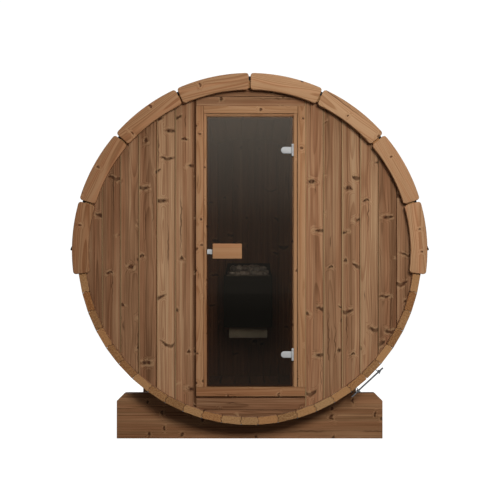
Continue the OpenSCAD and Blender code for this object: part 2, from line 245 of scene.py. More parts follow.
class Nodes:
    """Builds the nodes of a new material, or of a world, with short calls."""

    def __init__(self, owner):
        self.owner = bpy.data.materials.new(owner) if isinstance(owner, str) else owner
        self.owner.use_nodes = True
        self.tree = self.owner.node_tree
        self.tree.nodes.clear()

    def new(self, kind, inputs=None, **settings):
        node = self.tree.nodes.new("ShaderNode" + kind)
        for key, value in settings.items():
            setattr(node, key, value)
        for key, value in (inputs or {}).items():
            socket = node.inputs[key]
            if isinstance(value, bpy.types.NodeSocket):
                self.tree.links.new(value, socket)
            else:
                socket.default_value = (*value, 1) if socket.type == "RGBA" else value
        return node

    def math(self, operation, *values, clamp=False):
        return self.new("Math", dict(enumerate(values)), operation=operation, use_clamp=clamp).outputs[0]

    def chain(self, operation, first, *others):
        for value in others:
            first = self.math(operation, first, value)
        return first

    def add(self, *values):
        return self.chain("ADD", *values)

    def sub(self, *values):
        return self.chain("SUBTRACT", *values)

    def mul(self, *values):
        return self.chain("MULTIPLY", *values)

    def div(self, a, b):
        return self.math("DIVIDE", a, b)

    def swing(self, value, size):
        """A value about 0.5 as a push to either side."""
        return self.mul(self.sub(value, 0.5), size)

    def length(self, a, b):
        return self.math("SQRT", self.add(self.math("POWER", a, 2.0), self.math("POWER", b, 2.0)))

    def vector(self, x, y, z):
        return self.new("CombineXYZ", {0: x, 1: y, 2: z}).outputs[0]

    def split(self, vector):
        return self.new("SeparateXYZ", {0: vector}).outputs

    def place(self):
        return self.new("TexCoord").outputs["Object"]

    def attribute(self, name, output="Vector"):
        return self.new("Attribute", attribute_name=name).outputs[output]

    def noise(self, vector, scale=1.0, detail=2.0, rough=0.5, stretch=None, output=0):
        if stretch:
            vector = self.new("VectorMath", {0: vector, 1: stretch}, operation="MULTIPLY").outputs[0]
        inputs = {"Vector": vector, "Scale": scale, "Detail": detail, "Roughness": rough}
        return self.new("TexNoise", inputs).outputs[output]

    def blend(self, factor, a, b, mode="MIX"):
        return self.new("Mix", {0: factor, 6: a, 7: b}, data_type="RGBA", blend_type=mode).outputs[2]

    def shaded(self, colour, factor):
        return self.blend(1.0, colour, self.vector(factor, factor, factor), "MULTIPLY")

    def line(self, value, low, high, a=0.0, b=1.0, kind="LINEAR"):
        """Evenly from a at low to b at high."""
        return self.new("MapRange", {0: value, 1: low, 2: high, 3: a, 4: b}, interpolation_type=kind).outputs[0]

    def step(self, *between):
        """Smoothly from a at low to b at high."""
        return self.line(*between, kind="SMOOTHSTEP")

    def ramp(self, value, stops):
        """A colour that passes through the (position, colour) stops."""
        node = self.new("ValToRGB", {0: value})
        elements = node.color_ramp.elements
        elements.remove(elements[1])
        for i, (position, colour) in enumerate(stops):
            stop = elements.new(position) if i else elements[0]
            stop.position, stop.color = position, (*colour, 1)
        return node.outputs[0]

    def bump(self, height, distance, strength=1.0):
        return self.new("Bump", {"Height": height, "Distance": distance, "Strength": strength}).outputs[0]

    def either(self, share, a, b):
        return self.new("MixShader", {0: share, 1: a, 2: b}).outputs[0]

    def shown(self, shader):
        self.new("OutputMaterial", {"Surface": shader})
        return self.owner

    def finish(self, **inputs):
        return self.shown(self.new("BsdfPrincipled", {k.replace("_", " "): v for k, v in inputs.items()}).outputs[0])


def knot_marks(n, along, across, cell, share, half_along, half_across, lean):
    """Marks scattered over a board, one or none to a cell of that size. Returns how near the surface is to one
    (1 at its rim, 0 at its middle), whether there is one, two numbers that differ between marks, and the distance
    to the side as a share of its half width."""
    cells = n.vector(n.div(along, cell[0]), n.div(across, cell[1]), 0.0)
    spots = n.new("TexVoronoi", {"Vector": cells, "Scale": 1.0, "Randomness": 0.9}, voronoi_dimensions="2D").outputs
    place, chance = n.split(spots["Position"]), n.split(spots["Color"])
    side = n.math("ABSOLUTE", n.sub(across, n.mul(place[1], cell[1])))
    slope = n.line(chance[2], 0, 1, -lean, lean)
    up = n.sub(along, n.mul(place[0], cell[0]), n.mul(side, slope))
    tall = n.line(chance[1], 0, 1, *half_along)
    wide = n.line(n.math("POWER", chance[2], 1.4), 0, 1, *half_across)
    aside = n.div(side, wide)
    return n.length(n.div(up, tall), aside), n.math("LESS_THAN", chance[0], share), chance[1], chance[2], aside


def tinted(colour, *factors):
    return tuple(value * factor for value, factor in zip(colour, factors))


def wood(name, dark, middle, light, ring=0.35, streak=0.5, knot_share=0.34, knot_size=1.0, knot_width=1.0,
         cell=(0.25, 0.085), rough=0.62, spread=0.30):
    """Sawn softwood. The colours are those of the late wood and the streaks, of the body and of the pale streaks.
    ring, streak and spread are the strength of the rings, of the streaks and of what differs between boards."""
    n = Nodes(name)
    grain = n.attribute("grain")
    along, across, through = n.split(grain)
    tone, red, knotty = n.split(n.attribute("tone"))

    share = n.mul(knotty, 2 * knot_share)
    jog = n.swing(n.noise(grain, detail=1.0, stretch=(22.0, 34.0, 1.0)), 0.016 * knot_size)
    knot, knot_there, knot_a, knot_b, aside = knot_marks(
        n, n.add(along, jog), n.add(across, jog), cell, share,
        (0.0050 * knot_size, 0.0090 * knot_size), (0.0065 * knot_size, 0.034 * knot_size * knot_width), 0.6)
    spindle, spindle_there = knot_marks(n, along, n.add(across, jog), (0.52, 0.06), n.mul(share, 0.6),
                                        (0.016, 0.200), (0.0014, 0.0038), 0.0)[:2]

    # The tree's rings about its wandering heart, bent round each knot.
    drift = n.split(n.noise(grain, detail=1.0, stretch=(1.5, 7.0, 7.0), output="Color"))
    radius = n.length(n.add(across, n.swing(drift[0], 0.030)), n.add(through, n.swing(drift[1], 0.030)))
    radius = n.add(radius, n.mul(n.step(knot, 4.5, 0.6), n.mul(knot_there, 0.012)))
    uneven = n.mul(n.noise(n.vector(n.mul(radius, 150.0), along, 0.0), detail=0.0), 1.3)
    phase = n.math("FRACT", n.add(n.div(radius, 0.0048), uneven))
    late = n.mul(n.step(phase, 0.30, 0.86), n.step(phase, 1.0, 0.90))

    # Streaks and fibres along the grain.
    broad = n.noise(grain, rough=0.55, stretch=(0.55, 30.0, 30.0))
    fine = n.noise(grain, rough=0.6, stretch=(2.6, 150.0, 150.0))
    fibre = n.noise(grain, rough=0.6, stretch=(14.0, 800.0, 800.0))
    patch = n.noise(grain, stretch=(1.6, 9.0, 9.0))
    level = n.add(0.5, n.swing(broad, 1.5 * streak), n.swing(fine, 1.1 * streak), n.swing(patch, 0.9 * streak),
                  n.swing(fibre, 0.35), n.mul(n.sub(late, 0.35), -ring), n.swing(tone, spread))
    colour = n.ramp(level, ((0.0, dark), (0.5, middle), (1.0, light)))
    colour = n.shaded(colour, n.line(tone, 0, 1, 1 - 0.42 * spread, 1 + 0.42 * spread))
    rosy = n.add(n.noise(grain, detail=1.0, stretch=(0.9, 38.0, 38.0)), n.mul(red, 0.22))
    colour = n.blend(n.mul(n.step(rosy, 0.48, 0.78), 0.5), colour, (1.05, 0.86, 0.80), "MULTIPLY")

    # Knots: pale wood around, and dark wood that is darkest towards the sides of a wide knot.
    blot = n.noise(n.vector(n.mul(along, 140.0), n.mul(across, 90.0), knot_a), detail=1.0)
    ragged = n.swing(blot, 1.1)
    lit = n.noise(n.vector(n.mul(along, 55.0), n.mul(across, 40.0), knot_b), detail=1.0)
    halo = n.mul(n.step(knot, 3.4, 1.1), n.step(lit, 0.40, 0.56), knot_there, 0.60)
    colour = n.blend(halo, colour, tinted(light, 1.08, 1.06, 1.0))
    shade = n.mul(n.step(n.add(knot, ragged), 2.1, 0.8), knot_there, 0.6)
    colour = n.blend(shade, colour, tinted(dark, 0.62, 0.44, 0.38))
    body = n.mul(n.step(n.add(knot, n.mul(ragged, 0.7)), 1.3, 0.75), knot_there)
    rim = n.mul(body, n.step(aside, 0.10, 0.55, 0.45, 1.0), n.line(knot_b, 0, 1, 0.96, 0.70))
    colour = n.blend(rim, colour, (0.030, 0.010, 0.005))
    thread = n.mul(n.step(spindle, 1.6, 0.3), spindle_there, 0.72)
    colour = n.blend(thread, colour, tinted(dark, 0.36, 0.30, 0.30))

    # The sawn ends, and the sloping edges: a painted highlight on the slopes that face one side of a board and painted
    # shade on those that face the other.
    speck = n.noise(n.vector(n.mul(across, 420.0), n.mul(through, 420.0), 0.0), detail=3.0)
    blotch = n.noise(n.vector(n.mul(across, 110.0), n.mul(through, 110.0), 3.0))
    level = n.add(n.mul(n.sub(1.0, late), 0.75), n.mul(speck, 0.55), n.swing(tone, 1.3), n.swing(blotch, 1.8))
    sawn = n.blend(level, tinted(END, 0.50, 0.42, 0.36), tinted(END, 1.12, 1.20, 1.30))
    sawn = n.blend(red, sawn, (1.0, 0.78, 0.64), "MULTIPLY")
    edge = n.attribute("edge", "Fac")
    colour = n.blend(n.math("MULTIPLY", edge, 0.80, clamp=True), colour, tinted(light, 1.25, 1.32, 1.22))
    colour = n.blend(n.math("MULTIPLY", edge, -0.45, clamp=True), colour, tinted(dark, 0.6, 0.55, 0.5))
    colour = n.blend(n.attribute("cut", "Fac"), colour, sawn)

    height = n.sub(n.add(n.mul(late, 0.5), n.mul(fibre, 0.8)), n.mul(rim, 0.7))
    return n.finish(Base_Color=colour, Roughness=n.sub(rough + 0.1, n.mul(late, 0.12)), Specular_IOR_Level=0.16,
                    Normal=n.bump(height, 0.0003, 0.55))


def brushed(name, colour, rough, scale, metallic=1.0):
    """Metal with a faint brushed and smudged finish."""
    n = Nodes(name)
    place = n.place()
    lines = n.noise(place, detail=3.0, stretch=(scale, scale, scale * 0.08))
    smudge = n.noise(place, 40.0, 3.0)
    tint = n.shaded(colour, n.add(0.85, n.mul(lines, 0.3)))
    return n.finish(Base_Color=tint, Metallic=metallic, Roughness=n.add(rough, n.swing(smudge, 0.25)),
                    Normal=n.bump(lines, 0.00006))


def glass(name, tint, gloss, shine):
    """A tinted pane that lets what is behind it show straight through."""
    n = Nodes(name)
    fresnel = n.new("Fresnel", {"IOR": gloss}).outputs[0]
    roughness = n.line(n.noise(n.place(), 7.0, 3.0), 0.3, 0.7, 0.0, 0.02)
    clear = n.new("BsdfTransparent", {"Color": tint}).outputs[0]
    mirror = n.new("BsdfGlossy", {"Color": shine, "Roughness": roughness}).outputs[0]
    return n.shown(n.either(fresnel, clear, mirror))


def membrane(name):
    """Black roofing sheet with fine mineral grains, greyed a little by dust."""
    n = Nodes(name)
    place = n.place()
    grains = n.new("TexVoronoi", {"Vector": place, "Scale": 620.0}).outputs["Distance"]
    dust = n.noise(place, 5.0, 4.0)
    cloud = n.noise(place, 60.0)
    shade = n.add(n.mul(grains, 0.030), n.mul(n.step(dust, 0.4, 0.8), 0.016), 0.010)
    return n.finish(Base_Color=n.vector(shade, shade, n.mul(shade, 1.04)),
                    Roughness=n.line(cloud, 0.3, 0.7, 0.62, 0.82), Specular_IOR_Level=0.35,
                    Normal=n.bump(n.add(n.mul(grains, 0.5), n.mul(cloud, 0.6)), 0.0008, 0.6))


def coated(name, colour, rough, texture, sheen=0.25):
    """Powder-coated or moulded surface with a fine orange-peel texture and slight wear."""
    n = Nodes(name)
    place = n.place()
    worn = n.noise(place, 9.0, 4.0)
    tint = n.shaded(colour, n.line(worn, 0.3, 0.7, 0.82, 1.16))
    return n.finish(Base_Color=tint, Roughness=n.line(worn, 0.3, 0.7, rough - 0.08, rough + 0.1),
                    Specular_IOR_Level=sheen, Normal=n.bump(n.noise(place, texture), 0.0003, 0.5))


def stone(name):
    """Olivine heater stones: each its own grey, with flecks and a rough face."""
    n = Nodes(name)
    tone = n.split(n.attribute("tone"))
    place = n.place()
    flecks = n.noise(place, 160.0, 5.0, 0.7)
    lumps = n.noise(place, 45.0, 3.0)
    tint = n.blend(tone[1], (0.98, 1.0, 0.98), (0.84, 0.95, 0.96))
    tint = n.shaded(tint, n.add(n.mul(tone[0], 0.80), n.mul(flecks, 0.36)))
    return n.finish(Base_Color=tint, Roughness=n.line(flecks, 0.2, 0.8, 0.7, 0.95),
                    Normal=n.bump(n.add(flecks, lumps), 0.002, 0.8))


DARK, MID, PALE = (0.142, 0.066, 0.031), (0.300, 0.156, 0.080), (0.470, 0.297, 0.165)
END = (0.392, 0.214, 0.091)  # the sawn ends
wall_wood = wood("wall_wood", DARK, MID, PALE, ring=0.27, streak=0.74, knot_share=0.50, knot_size=1.15,
                 knot_width=1.2, spread=0.6)
stave_wood = wood("stave_wood", DARK, MID, PALE, ring=0.17, streak=0.6, knot_share=0.5, spread=0.4)
trim_wood = wood("trim_wood", (0.235, 0.104, 0.044), (0.375, 0.197, 0.096), (0.500, 0.302, 0.166), ring=0.44,
                 streak=0.32, knot_share=0.34, knot_size=0.8, knot_width=0.4, cell=(0.17, 0.08), rough=0.55, spread=0.5)
frame_wood = wood("frame_wood", (0.250, 0.111, 0.046), (0.400, 0.210, 0.101), (0.510, 0.300, 0.164), ring=0.34,
                  streak=0.34, knot_share=0.5, knot_size=0.85, knot_width=0.35, cell=(0.16, 0.06), rough=0.52,
                  spread=0.3)
handle_wood = wood("handle_wood", (0.290, 0.134, 0.057), (0.420, 0.218, 0.104), (0.510, 0.290, 0.149), ring=0.24,
                   streak=0.30, knot_share=0.0, rough=0.5, spread=0.1)
cradle_wood = wood("cradle_wood", (0.120, 0.054, 0.024), (0.285, 0.144, 0.068), (0.420, 0.235, 0.120), ring=0.62,
                   streak=0.85, knot_share=0.55, knot_size=1.0, knot_width=0.45, cell=(0.22, 0.08))
deck_wood = wood("deck_wood", DARK, MID, PALE, knot_share=0.3)
chrome = brushed("chrome", (0.56, 0.562, 0.56), 0.46, 900.0, 0.35)
steel = brushed("steel", (0.30, 0.31, 0.32), 0.34, 700.0)
tinted_glass = glass("tinted_glass", (0.50, 0.445, 0.40), 1.45, (1.0, 0.91, 0.77))
roof_sheet = membrane("roof_sheet")
# The heater rim's pale grey is a painted highlight where the rim catches the light.
rim_paint = coated("rim_paint", (0.26, 0.28, 0.25), 0.5, 1600.0)
heater_paint = coated("heater_paint", (0.006, 0.010, 0.008), 0.5, 1600.0, 0.05)
control_paint = coated("control_paint", (0.78, 0.90, 0.82), 0.55, 1400.0)
heater_stone = stone("heater_stone")


# ---- the barrel


def joint_angle(k):
    """Angle of a stave joint, counted upwards from the right of the closing stave and downwards below it."""
    if k >= 0:
        return -math.pi / 2 + CLOSING / 2 + k * PITCH
    return -math.pi / 2 - CLOSING / 2 + (k + 1) * PITCH


def heading(angle):
    return np.array([math.cos(angle), math.sin(angle)])


def joint_side(angle, outwards, bead):
    """One edge of a stave from its outer corner to its inner one: a rounded bead, or the cove that takes one.
    outwards is the turning sense that leaves the stave."""
    bead_h, bead_w = 5.2 * MM, 17 * MM
    radial = heading(angle)
    away = np.array([-radial[1], radial[0]]) * outwards
    middle = (BARREL_R + INNER_R) / 2
    swell = bead_h if bead else -bead_h
    turns = np.linspace(0, math.pi, 9)
    curve = [radial * (middle + bead_w / 2 * math.cos(t)) + away * (swell * math.sin(t) - SEAM) for t in turns]
    return [radial * (BARREL_R - STAVE_EDGE) - away * SEAM, *curve, radial * (INNER_R + STAVE_EDGE) - away * SEAM]


def stave_profile(k):
    """The cross-section of the stave after joint k, as (x, height above the axis). Each stave has its bead on the
    upper side. The closing stave has one on both sides, and the crown stave at the top has none."""
    low, high = joint_angle(k), joint_angle(k + 1)
    centre = (low + high) / 2
    crown, closing, rising = abs(centre - math.pi / 2) < PITCH / 4, k == -1, math.cos(centre) > 0
    corners = []
    for angle, sense, upper in ((high, 1, rising), (low, -1, not rising)):
        side = joint_side(angle, sense, (upper or closing) and not crown)
        here, there = heading(angle), heading(low + high - angle)
        chord = (there - here) / np.linalg.norm(there - here)
        corners.append([here * BARREL_R + chord * STAVE_EDGE, *side, here * INNER_R + chord * STAVE_EDGE])
    # Anticlockwise: outer face from low to high, down the high edge, inner face back, up the low edge.
    return np.vstack([corners[0], corners[1][::-1]])


def make_staves(name, first, last):
    build = Build()
    for k in range(first, last):
        outline = stave_profile(k) + (0, AXIS_H)
        centre = (joint_angle(k) + joint_angle(k + 1)) / 2
        end = END_Y - rng.uniform(0, 0.6) * MM
        build.add(solid(outline, -end, end, chamfer(0.9 * MM)), "y", (-math.sin(centre), 0, math.cos(centre)),
                  tone=rng.uniform(0.15, 0.9))
    build.piece(name, stave_wood, "stave_wood")


def sector(low, high, inner, outer, corner):
    """An anticlockwise ring sector with rounded corners, about (0, 0)."""
    far_turn = math.asin(corner / (outer - corner))
    near_turn = math.asin(corner / (inner + corner))
    quarter = math.pi / 2

    def rounded(radius, angle, first, last):
        return arc(radius * heading(angle), corner, first, last, 5)

    far, near = outer - corner, inner + corner
    return np.vstack([
        arc((0, 0), outer, low + far_turn, high - far_turn, 28),
        rounded(far, high - far_turn, high - far_turn, high + quarter)[1:],
        rounded(near, high - near_turn, high + quarter, high - near_turn + 2 * quarter),
        arc((0, 0), inner, high - near_turn, low + near_turn, 26)[1:-1],
        rounded(near, low + near_turn, low + near_turn + 2 * quarter, low + 3 * quarter),
        rounded(far, low + far_turn, low - quarter, low + far_turn)[:-1],
    ])


def trim_board(build, i, y, tone, red=None):
    """One curved trim board, sawn from a straight plank."""
    low = math.pi / 2 + (TRIMS / 2 - i) * TRIM_PITCH - (TRIM_PITCH + TRIM_SPAN) / 2
    outline = sector(low, low + TRIM_SPAN, TRIM_R - TRIM_W, TRIM_R, 16 * MM) + (0, AXIS_H + TRIM_LIFT)
    centre = low + TRIM_SPAN / 2
    along = (-math.sin(centre), 0, math.cos(centre))
    across = (math.cos(centre), 0, math.sin(centre))
    build.add(solid(outline, *y, rounding(4.0 * MM, 4)), along, across, tone=tone, red=red)


def make_barrel():
    """Staves go by the joint before them, anticlockwise from the closing stave, which is -1."""
    top = 1 + SIDE_STAVES * SIDE_SETS
    make_staves("staves_bottom", -2, 1)
    make_staves("staves_top", top, top + 3)
    for i in range(SIDE_SETS):
        right, left = 1 + SIDE_STAVES * i, STAVES - 2 - SIDE_STAVES * i
        make_staves(f"staves_right_{i + 1}", right, right + SIDE_STAVES)
        make_staves(f"staves_left_{i + 1}", left - SIDE_STAVES, left)


# As (tone, red), from the lower left round the top.
TRIM_TONES = ((0.22, 1.0), (0.34, 0.5), (0.46, 0.5), (0.52, 0.3), (0.82, 0.0), (0.80, 0.0), (0.82, 0.0), (0.72, 0.8))


def make_trims():
    """Front trims run anticlockwise in the frame from the lower right, trim 1, to the lower left, trim 8."""
    front = spans("front_trim_1")[1]
    for number in range(1, TRIMS + 1):
        build = Build()
        trim_board(build, TRIMS - number, front, *TRIM_TONES[-number])
        build.piece(f"front_trim_{number}", trim_wood, "trim_wood")
    back = spans("back_trims")[1]
    build = Build()
    for i in range(TRIMS):
        trim_board(build, i, back, 0.35 + 0.4 * rng.random())
    build.piece("back_trims", trim_wood, "trim_wood")


# ---- the end walls


def board_edge(slope, gap=0.9 * MM):
    """A chamfer that runs down into a narrow joint, which closes behind the face."""
    return [(slope + gap, 0.0), (gap, slope), (gap, 12 * MM), (0.0, 12.1 * MM)]


WALL_EDGE = board_edge(4.6 * MM)
ALL_UP = (0, 9)  # from the ground to well above the barrel, which cuts the board


def round_board(x, z, y, edge=WALL_EDGE, columns=10):
    """A flat board cut to the round of the barrel where it would pass it."""
    radius = INNER_R + GROOVE
    furthest = radius * 0.996
    xs = np.linspace(max(x[0], -furthest), min(x[1], furthest), columns)
    reach = np.sqrt(radius ** 2 - xs ** 2)
    top = np.minimum(z[1], AXIS_H + reach)
    bottom = np.maximum(z[0], AXIS_H - reach)
    kept = top - bottom > 12 * MM
    outline = np.vstack([np.column_stack([xs, bottom])[kept], np.column_stack([xs, top])[kept][::-1]])
    return solid(outline, *y, edge)


def upright_boards(build, x_from, x_to, y, tones):
    """Upright boards side by side, from x_from outwards to the barrel's side."""
    step = math.copysign(BOARD_W, x_to - x_from)
    for i in range(math.ceil(abs(x_to - x_from) / BOARD_W)):
        tone, red = tones[i % len(tones)]
        sides = sorted((x_from + i * step, x_from + (i + 1) * step))
        # Upright boards get the painted highlight and painted shade on their sloping edges.
        build.add(round_board(sides, ALL_UP, y), "z", "x", tone=tone, red=red, knots=0.55, pale=1.0)


# As (tone, red), from the door outwards.
LEFT_TONES = ((0.54, 0.7), (0.68, 0.1), (0.30, 0.6), (0.44, 0.2), (0.30, 0.6), (0.25, 0.4))
RIGHT_TONES = ((0.64, 0.8), (0.50, 0.3), (0.56, 0.6), (0.68, 0.2), (0.44, 0.6), (0.45, 0.3))


def make_walls():
    y, recessed = (WALL_FRONT, WALL_BACK), (WALL_FRONT + 14 * MM, WALL_BACK)
    left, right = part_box("door_jamb_left")[0].x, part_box("door_jamb_right")[1].x
    low, high = spans("door_jamb_left")[2]
    bay = 320 * MM
    flat = chamfer(0.5 * MM)

    def lying_board(z, slope, columns, **looks):
        build.add(round_board((left, right), z, y, board_edge(slope, 1.0 * MM), columns), "x", "z", **looks)

    build = Build()
    upright_boards(build, -bay, -INNER_R, y, LEFT_TONES)
    # The recessed board beside the jamb is toned dark: painted shade in the recess.
    build.add(round_board((-bay, left), ALL_UP, recessed, flat), "z", "x", tone=-0.4)
    build.piece("front_wall_left", wall_wood, "wall_wood")

    build = Build()
    upright_boards(build, right, INNER_R, y, RIGHT_TONES)
    build.piece("front_wall_right", wall_wood, "wall_wood")

    build = Build()
    split = high + 54 * MM
    lying_board((high, split), 1.5 * MM, 30, tone=0.52, knots=0.6)
    lying_board((split, ALL_UP[1]), 1.5 * MM, 40, tone=0.42)
    build.piece("front_wall_header", wall_wood, "wall_wood")

    # The recessed board is toned dark, painted shade that shows as a dark line under the sill.
    build = Build()
    split = low - 78 * MM
    lying_board((split, low - 9.5 * MM), 2 * MM, 40, tone=0.22)
    lying_board((ALL_UP[0], split), 2 * MM, 40, tone=0.16)
    build.add(round_board((left, right), (split, low), recessed, flat, 20), "x", "z", tone=-0.6)
    build.piece("front_wall_sill", wall_wood, "wall_wood")

    build = Build()
    back = spans("back_wall")[1]
    step, seam = 114 * MM, -11 * MM
    for a in seam + step * np.arange(-9, 9):
        if a + step > -INNER_R and a < INNER_R:
            build.add(round_board((a, a + step), ALL_UP, back), "z", "x", tone=0.05 + 0.45 * rng.random())
    build.piece("back_wall", wall_wood, "wall_wood")


# ---- the door and its frame


def make_frame():
    """Each member has a face board, a lining set back from it, and a stop behind the glass. The bottom rail's face
    runs under both jambs. A groove parts the other faces from their linings."""
    left_x, (face, back), (foot, top) = spans("door_jamb_left")
    right_x = spans("door_jamb_right")[0]
    casing, _, head_z = spans("door_head")
    sill_z = spans("door_sill")[2]
    pane_x, _, pane_z = spans("door_glass")
    stop = face + 24 * MM
    gap, play = 5.3 * MM, 0.4 * MM
    opening_x = (pane_x[0] - gap, pane_x[1] + gap)
    opening_z = (pane_z[0] - gap, pane_z[1] + gap)
    casing_top = opening_z[1] + 12 * MM
    narrow, wide = 1.6 * MM, 3.4 * MM
    outer = (left_x[0], right_x[1])
    levels = ((face, stop + 1 * MM, 2.2 * MM), (face + 7 * MM, stop + 1 * MM, 1.2 * MM), (stop, back, 1.0 * MM))

    def member(name, xs, zs, grain, tone, red):
        build = Build()
        for x, z, (y0, y1, soft) in zip(xs, zs, levels):
            build.add(slab(sorted(x), (y0, y1), z, rounding(soft)), *grain, tone=tone, red=red, knots=0.55)
        build.piece(name, frame_wood, "frame_wood")

    def across(*widths):
        return [(x[0] + play, x[1] - play) for x in widths]

    above_rail, rail = (opening_z[0] + play, top), (sill_z[0], opening_z[0])
    for name, i, groove, stop_x, tone, red in (("door_jamb_left", 0, narrow, left_x[1], 0.42, 0.5),
                                               ("door_jamb_right", 1, -wide, right_x[0], 0.62, 0.0)):
        xs = ((outer[i], casing[i]), (casing[i] + groove, opening_x[i]), (outer[i], stop_x))
        member(name, xs, (above_rail, above_rail, (foot, top)), "zx", tone, red)
    stops = (left_x[1], right_x[0])
    zs = ((casing_top, head_z[1]), (opening_z[1], casing_top - wide), head_z)
    member("door_head", across(casing, opening_x, stops), zs, "xz", 0.72, 0.3)
    member("door_sill", across(outer, outer, stops), (rail, rail, sill_z), "xz", -0.10, 0.6)


def make_door():
    pane_x, pane_y, pane_z = spans("door_glass")
    build = Build()
    build.add(slab(pane_x, pane_y, pane_z, chamfer(0.9 * MM), 2.5 * MM))
    build.piece("door_glass", tinted_glass, "tinted_glass", "door")

    grip_x, grip_y, grip_z = spans("door_handle")
    build = Build()
    for y in ((grip_y[0], pane_y[0]), (pane_y[1], grip_y[1])):
        build.add(slab(grip_x, y, grip_z, rounding(4 * MM, 4), 5 * MM, 4), "x", "z", tone=0.55, red=0.3, knots=0.0)
    build.piece("door_handle", handle_wood, "handle_wood", "door")

    x, y, z = spans("door_latch")
    middle = sum(x) / 2
    build = Build()
    build.add(slab((x[0], middle), (y[0], pane_y[0]), z, rounding(1.2 * MM), 1.5 * MM))
    build.add(slab((middle, x[1]), (pane_y[0] - 3 * MM, pane_y[0]), z, chamfer(0.5 * MM)))
    build.add(slab((middle, x[1]), (pane_y[1], y[1]), z, rounding(1 * MM)))
    build.piece("door_latch", chrome, "hinge_metal", "door")


def upright_rod(place, z, radius, soft, segments=40):
    return solid(circle_outline(radius, segments) + place, *z, rounding(soft, 2), "z")


def make_hinges():
    """Glass-to-frame hinges: a round-ended clamp on the pane, three knuckles on a pin, and a fixed plate."""
    leaf_x, leaf_y, _ = spans("hinge_leaves")
    fixed_x, fixed_y, fixed_z = spans("hinge_plates")
    pane_y = spans("door_glass")[1]
    pivot = frame["joints"][0]["pos_m"][:2]  # the door's hinge is the only joint
    knuckle_r, knuckle_h = 6.8 * MM, 70 * MM
    leaf_h, leaf_t = 37 * MM, 5 * MM
    play = 0.5 * MM
    plate_x = (fixed_x[1] - 2.3 * MM, fixed_x[1])
    inner_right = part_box("door_jamb_right")[0].x - 6 * MM
    thin = chamfer(0.3 * MM)

    def tongue(right, z, y, edge):
        radius = leaf_h / 2
        end = arc((leaf_x[0] + radius, z), radius, math.pi / 2, 3 * math.pi / 2, 24)
        return solid(np.vstack([end, [(right, z - radius), (right, z + radius)]]), *y, edge)

    moving, still = Build(), Build()
    for z in (fixed_z[1] - knuckle_h / 2, fixed_z[0] + knuckle_h / 2):
        low, high = z - knuckle_h / 2, z + knuckle_h / 2
        leaf = (z - leaf_h / 2, z + leaf_h / 2)
        moving.add(tongue(pivot[0] - 2 * MM, z, (pane_y[0] - leaf_t, pane_y[0]), rounding(1.3 * MM)))
        moving.add(upright_rod(pivot, leaf, knuckle_r, 0.8 * MM))
        moving.add(tongue(inner_right, z, (pane_y[1], leaf_y[1]), rounding(1.0 * MM)))
        for x in (leaf_x[0] + leaf_h / 2, leaf_x[0] + leaf_h / 2 + 22 * MM):
            screw = solid(circle_outline(3.6 * MM, 24), 0, 0.8 * MM, rounding(0.4 * MM, 2), "z")
            moving.add(turned(screw, (x, leaf_y[1], z), (1, 0, 0), (0, 0, 1), (0, 1, 0)))
        for knuckle in ((low, leaf[0] - play), (leaf[1] + play, high)):
            still.add(upright_rod(pivot, knuckle, knuckle_r, 0.8 * MM))
            still.add(slab(plate_x, (pivot[1], fixed_y[1]), knuckle, thin))
        still.add(slab(plate_x, (pivot[1] + knuckle_r + play, fixed_y[1]), (low, high), thin))
        still.add(upright_rod(pivot, (low, high), 3 * MM, 0.5 * MM, 24))
    moving.piece("hinge_leaves", chrome, "hinge_metal", "door")
    still.piece("hinge_plates", chrome, "hinge_metal")


# ---- roof, hoops and tensioners


def make_roof():
    """A padded black sheet in three widths, the top one lapped over the others, with a drip edge on each side."""
    low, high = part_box("roof_cover")
    cover_r = high.z - AXIS_H - TRIM_LIFT
    middle = (0, AXIS_H + TRIM_LIFT)
    hem, lap = math.radians(4.5), math.radians(38)
    lapped = 2.2 * MM
    ends = (low.y, high.y)
    nails, nail_in = 24, 40 * MM
    build = Build()

    side = [(high.x - 5 * MM, low.z), (high.x, low.z), (high.x, low.z + 7 * MM)]
    over = arc(middle, cover_r, hem, math.pi - hem, 90)
    under = arc((0, AXIS_H), BARREL_R + 0.4 * MM, math.pi - hem, hem, 90)
    mirror = [(-x, z) for x, z in reversed(side)]
    build.add(solid(np.vstack([side, over, mirror, under]), *ends, rounding(3 * MM)))
    first, last = math.pi / 2 - lap, math.pi / 2 + lap
    strip = [arc(middle, cover_r + lapped, first, last, 48), arc(middle, cover_r - 1 * MM, last, first, 48)]
    build.add(solid(np.vstack(strip), *ends, chamfer(0.8 * MM)))
    for sense in (-1, 1):
        angle = math.pi / 2 + sense * (lap - math.radians(1.1))
        radial = np.array([math.cos(angle), 0, math.sin(angle)])
        turn = (-math.sin(angle), 0, math.cos(angle))
        for y in np.linspace(ends[0] + nail_in, ends[1] - nail_in, nails):
            nail = solid(circle_outline(4.5 * MM, 16), 0, 1.4 * MM, rounding(0.6 * MM, 2), "z")
            build.add(turned(nail, radial * (cover_r + lapped) + (0, y, middle[1]), turn, (0, 1, 0), radial))
    build.piece("roof_cover", roof_sheet, "roof_membrane")


TENSION = math.radians(47.2)
ROD_R_FROM_AXIS = 993 * MM
EAR_AT = 75 * MM
ROD_ENDS = (131 * MM, 112 * MM)


def threaded(length, radius, pitch=1.5 * MM, depth=0.55 * MM, around=18):
    """A rod along z from 0 to length with a cut thread."""
    rings = []
    for height in np.linspace(0, length, int(length / (pitch / 4)) + 1):
        phase = (height / pitch - np.arange(around) / around) % 1.0
        tip = 0.4 * MM if height < pitch or height > length - pitch else 0.0
        rings.append(ring(radius - depth * np.abs(2 * phase - 1) - tip, height, around))
    return loft(rings)


def ring_shape(inner, outer, z0, z1, segments=36):
    """A flat washer along z."""
    soft = 0.3 * MM
    profile = [(inner, z0), (outer - soft, z0), (outer, z0 + soft), (outer, z1 - soft), (outer - soft, z1), (inner, z1)]
    return loft([ring(r, z, segments) for r, z in profile], closed=True)


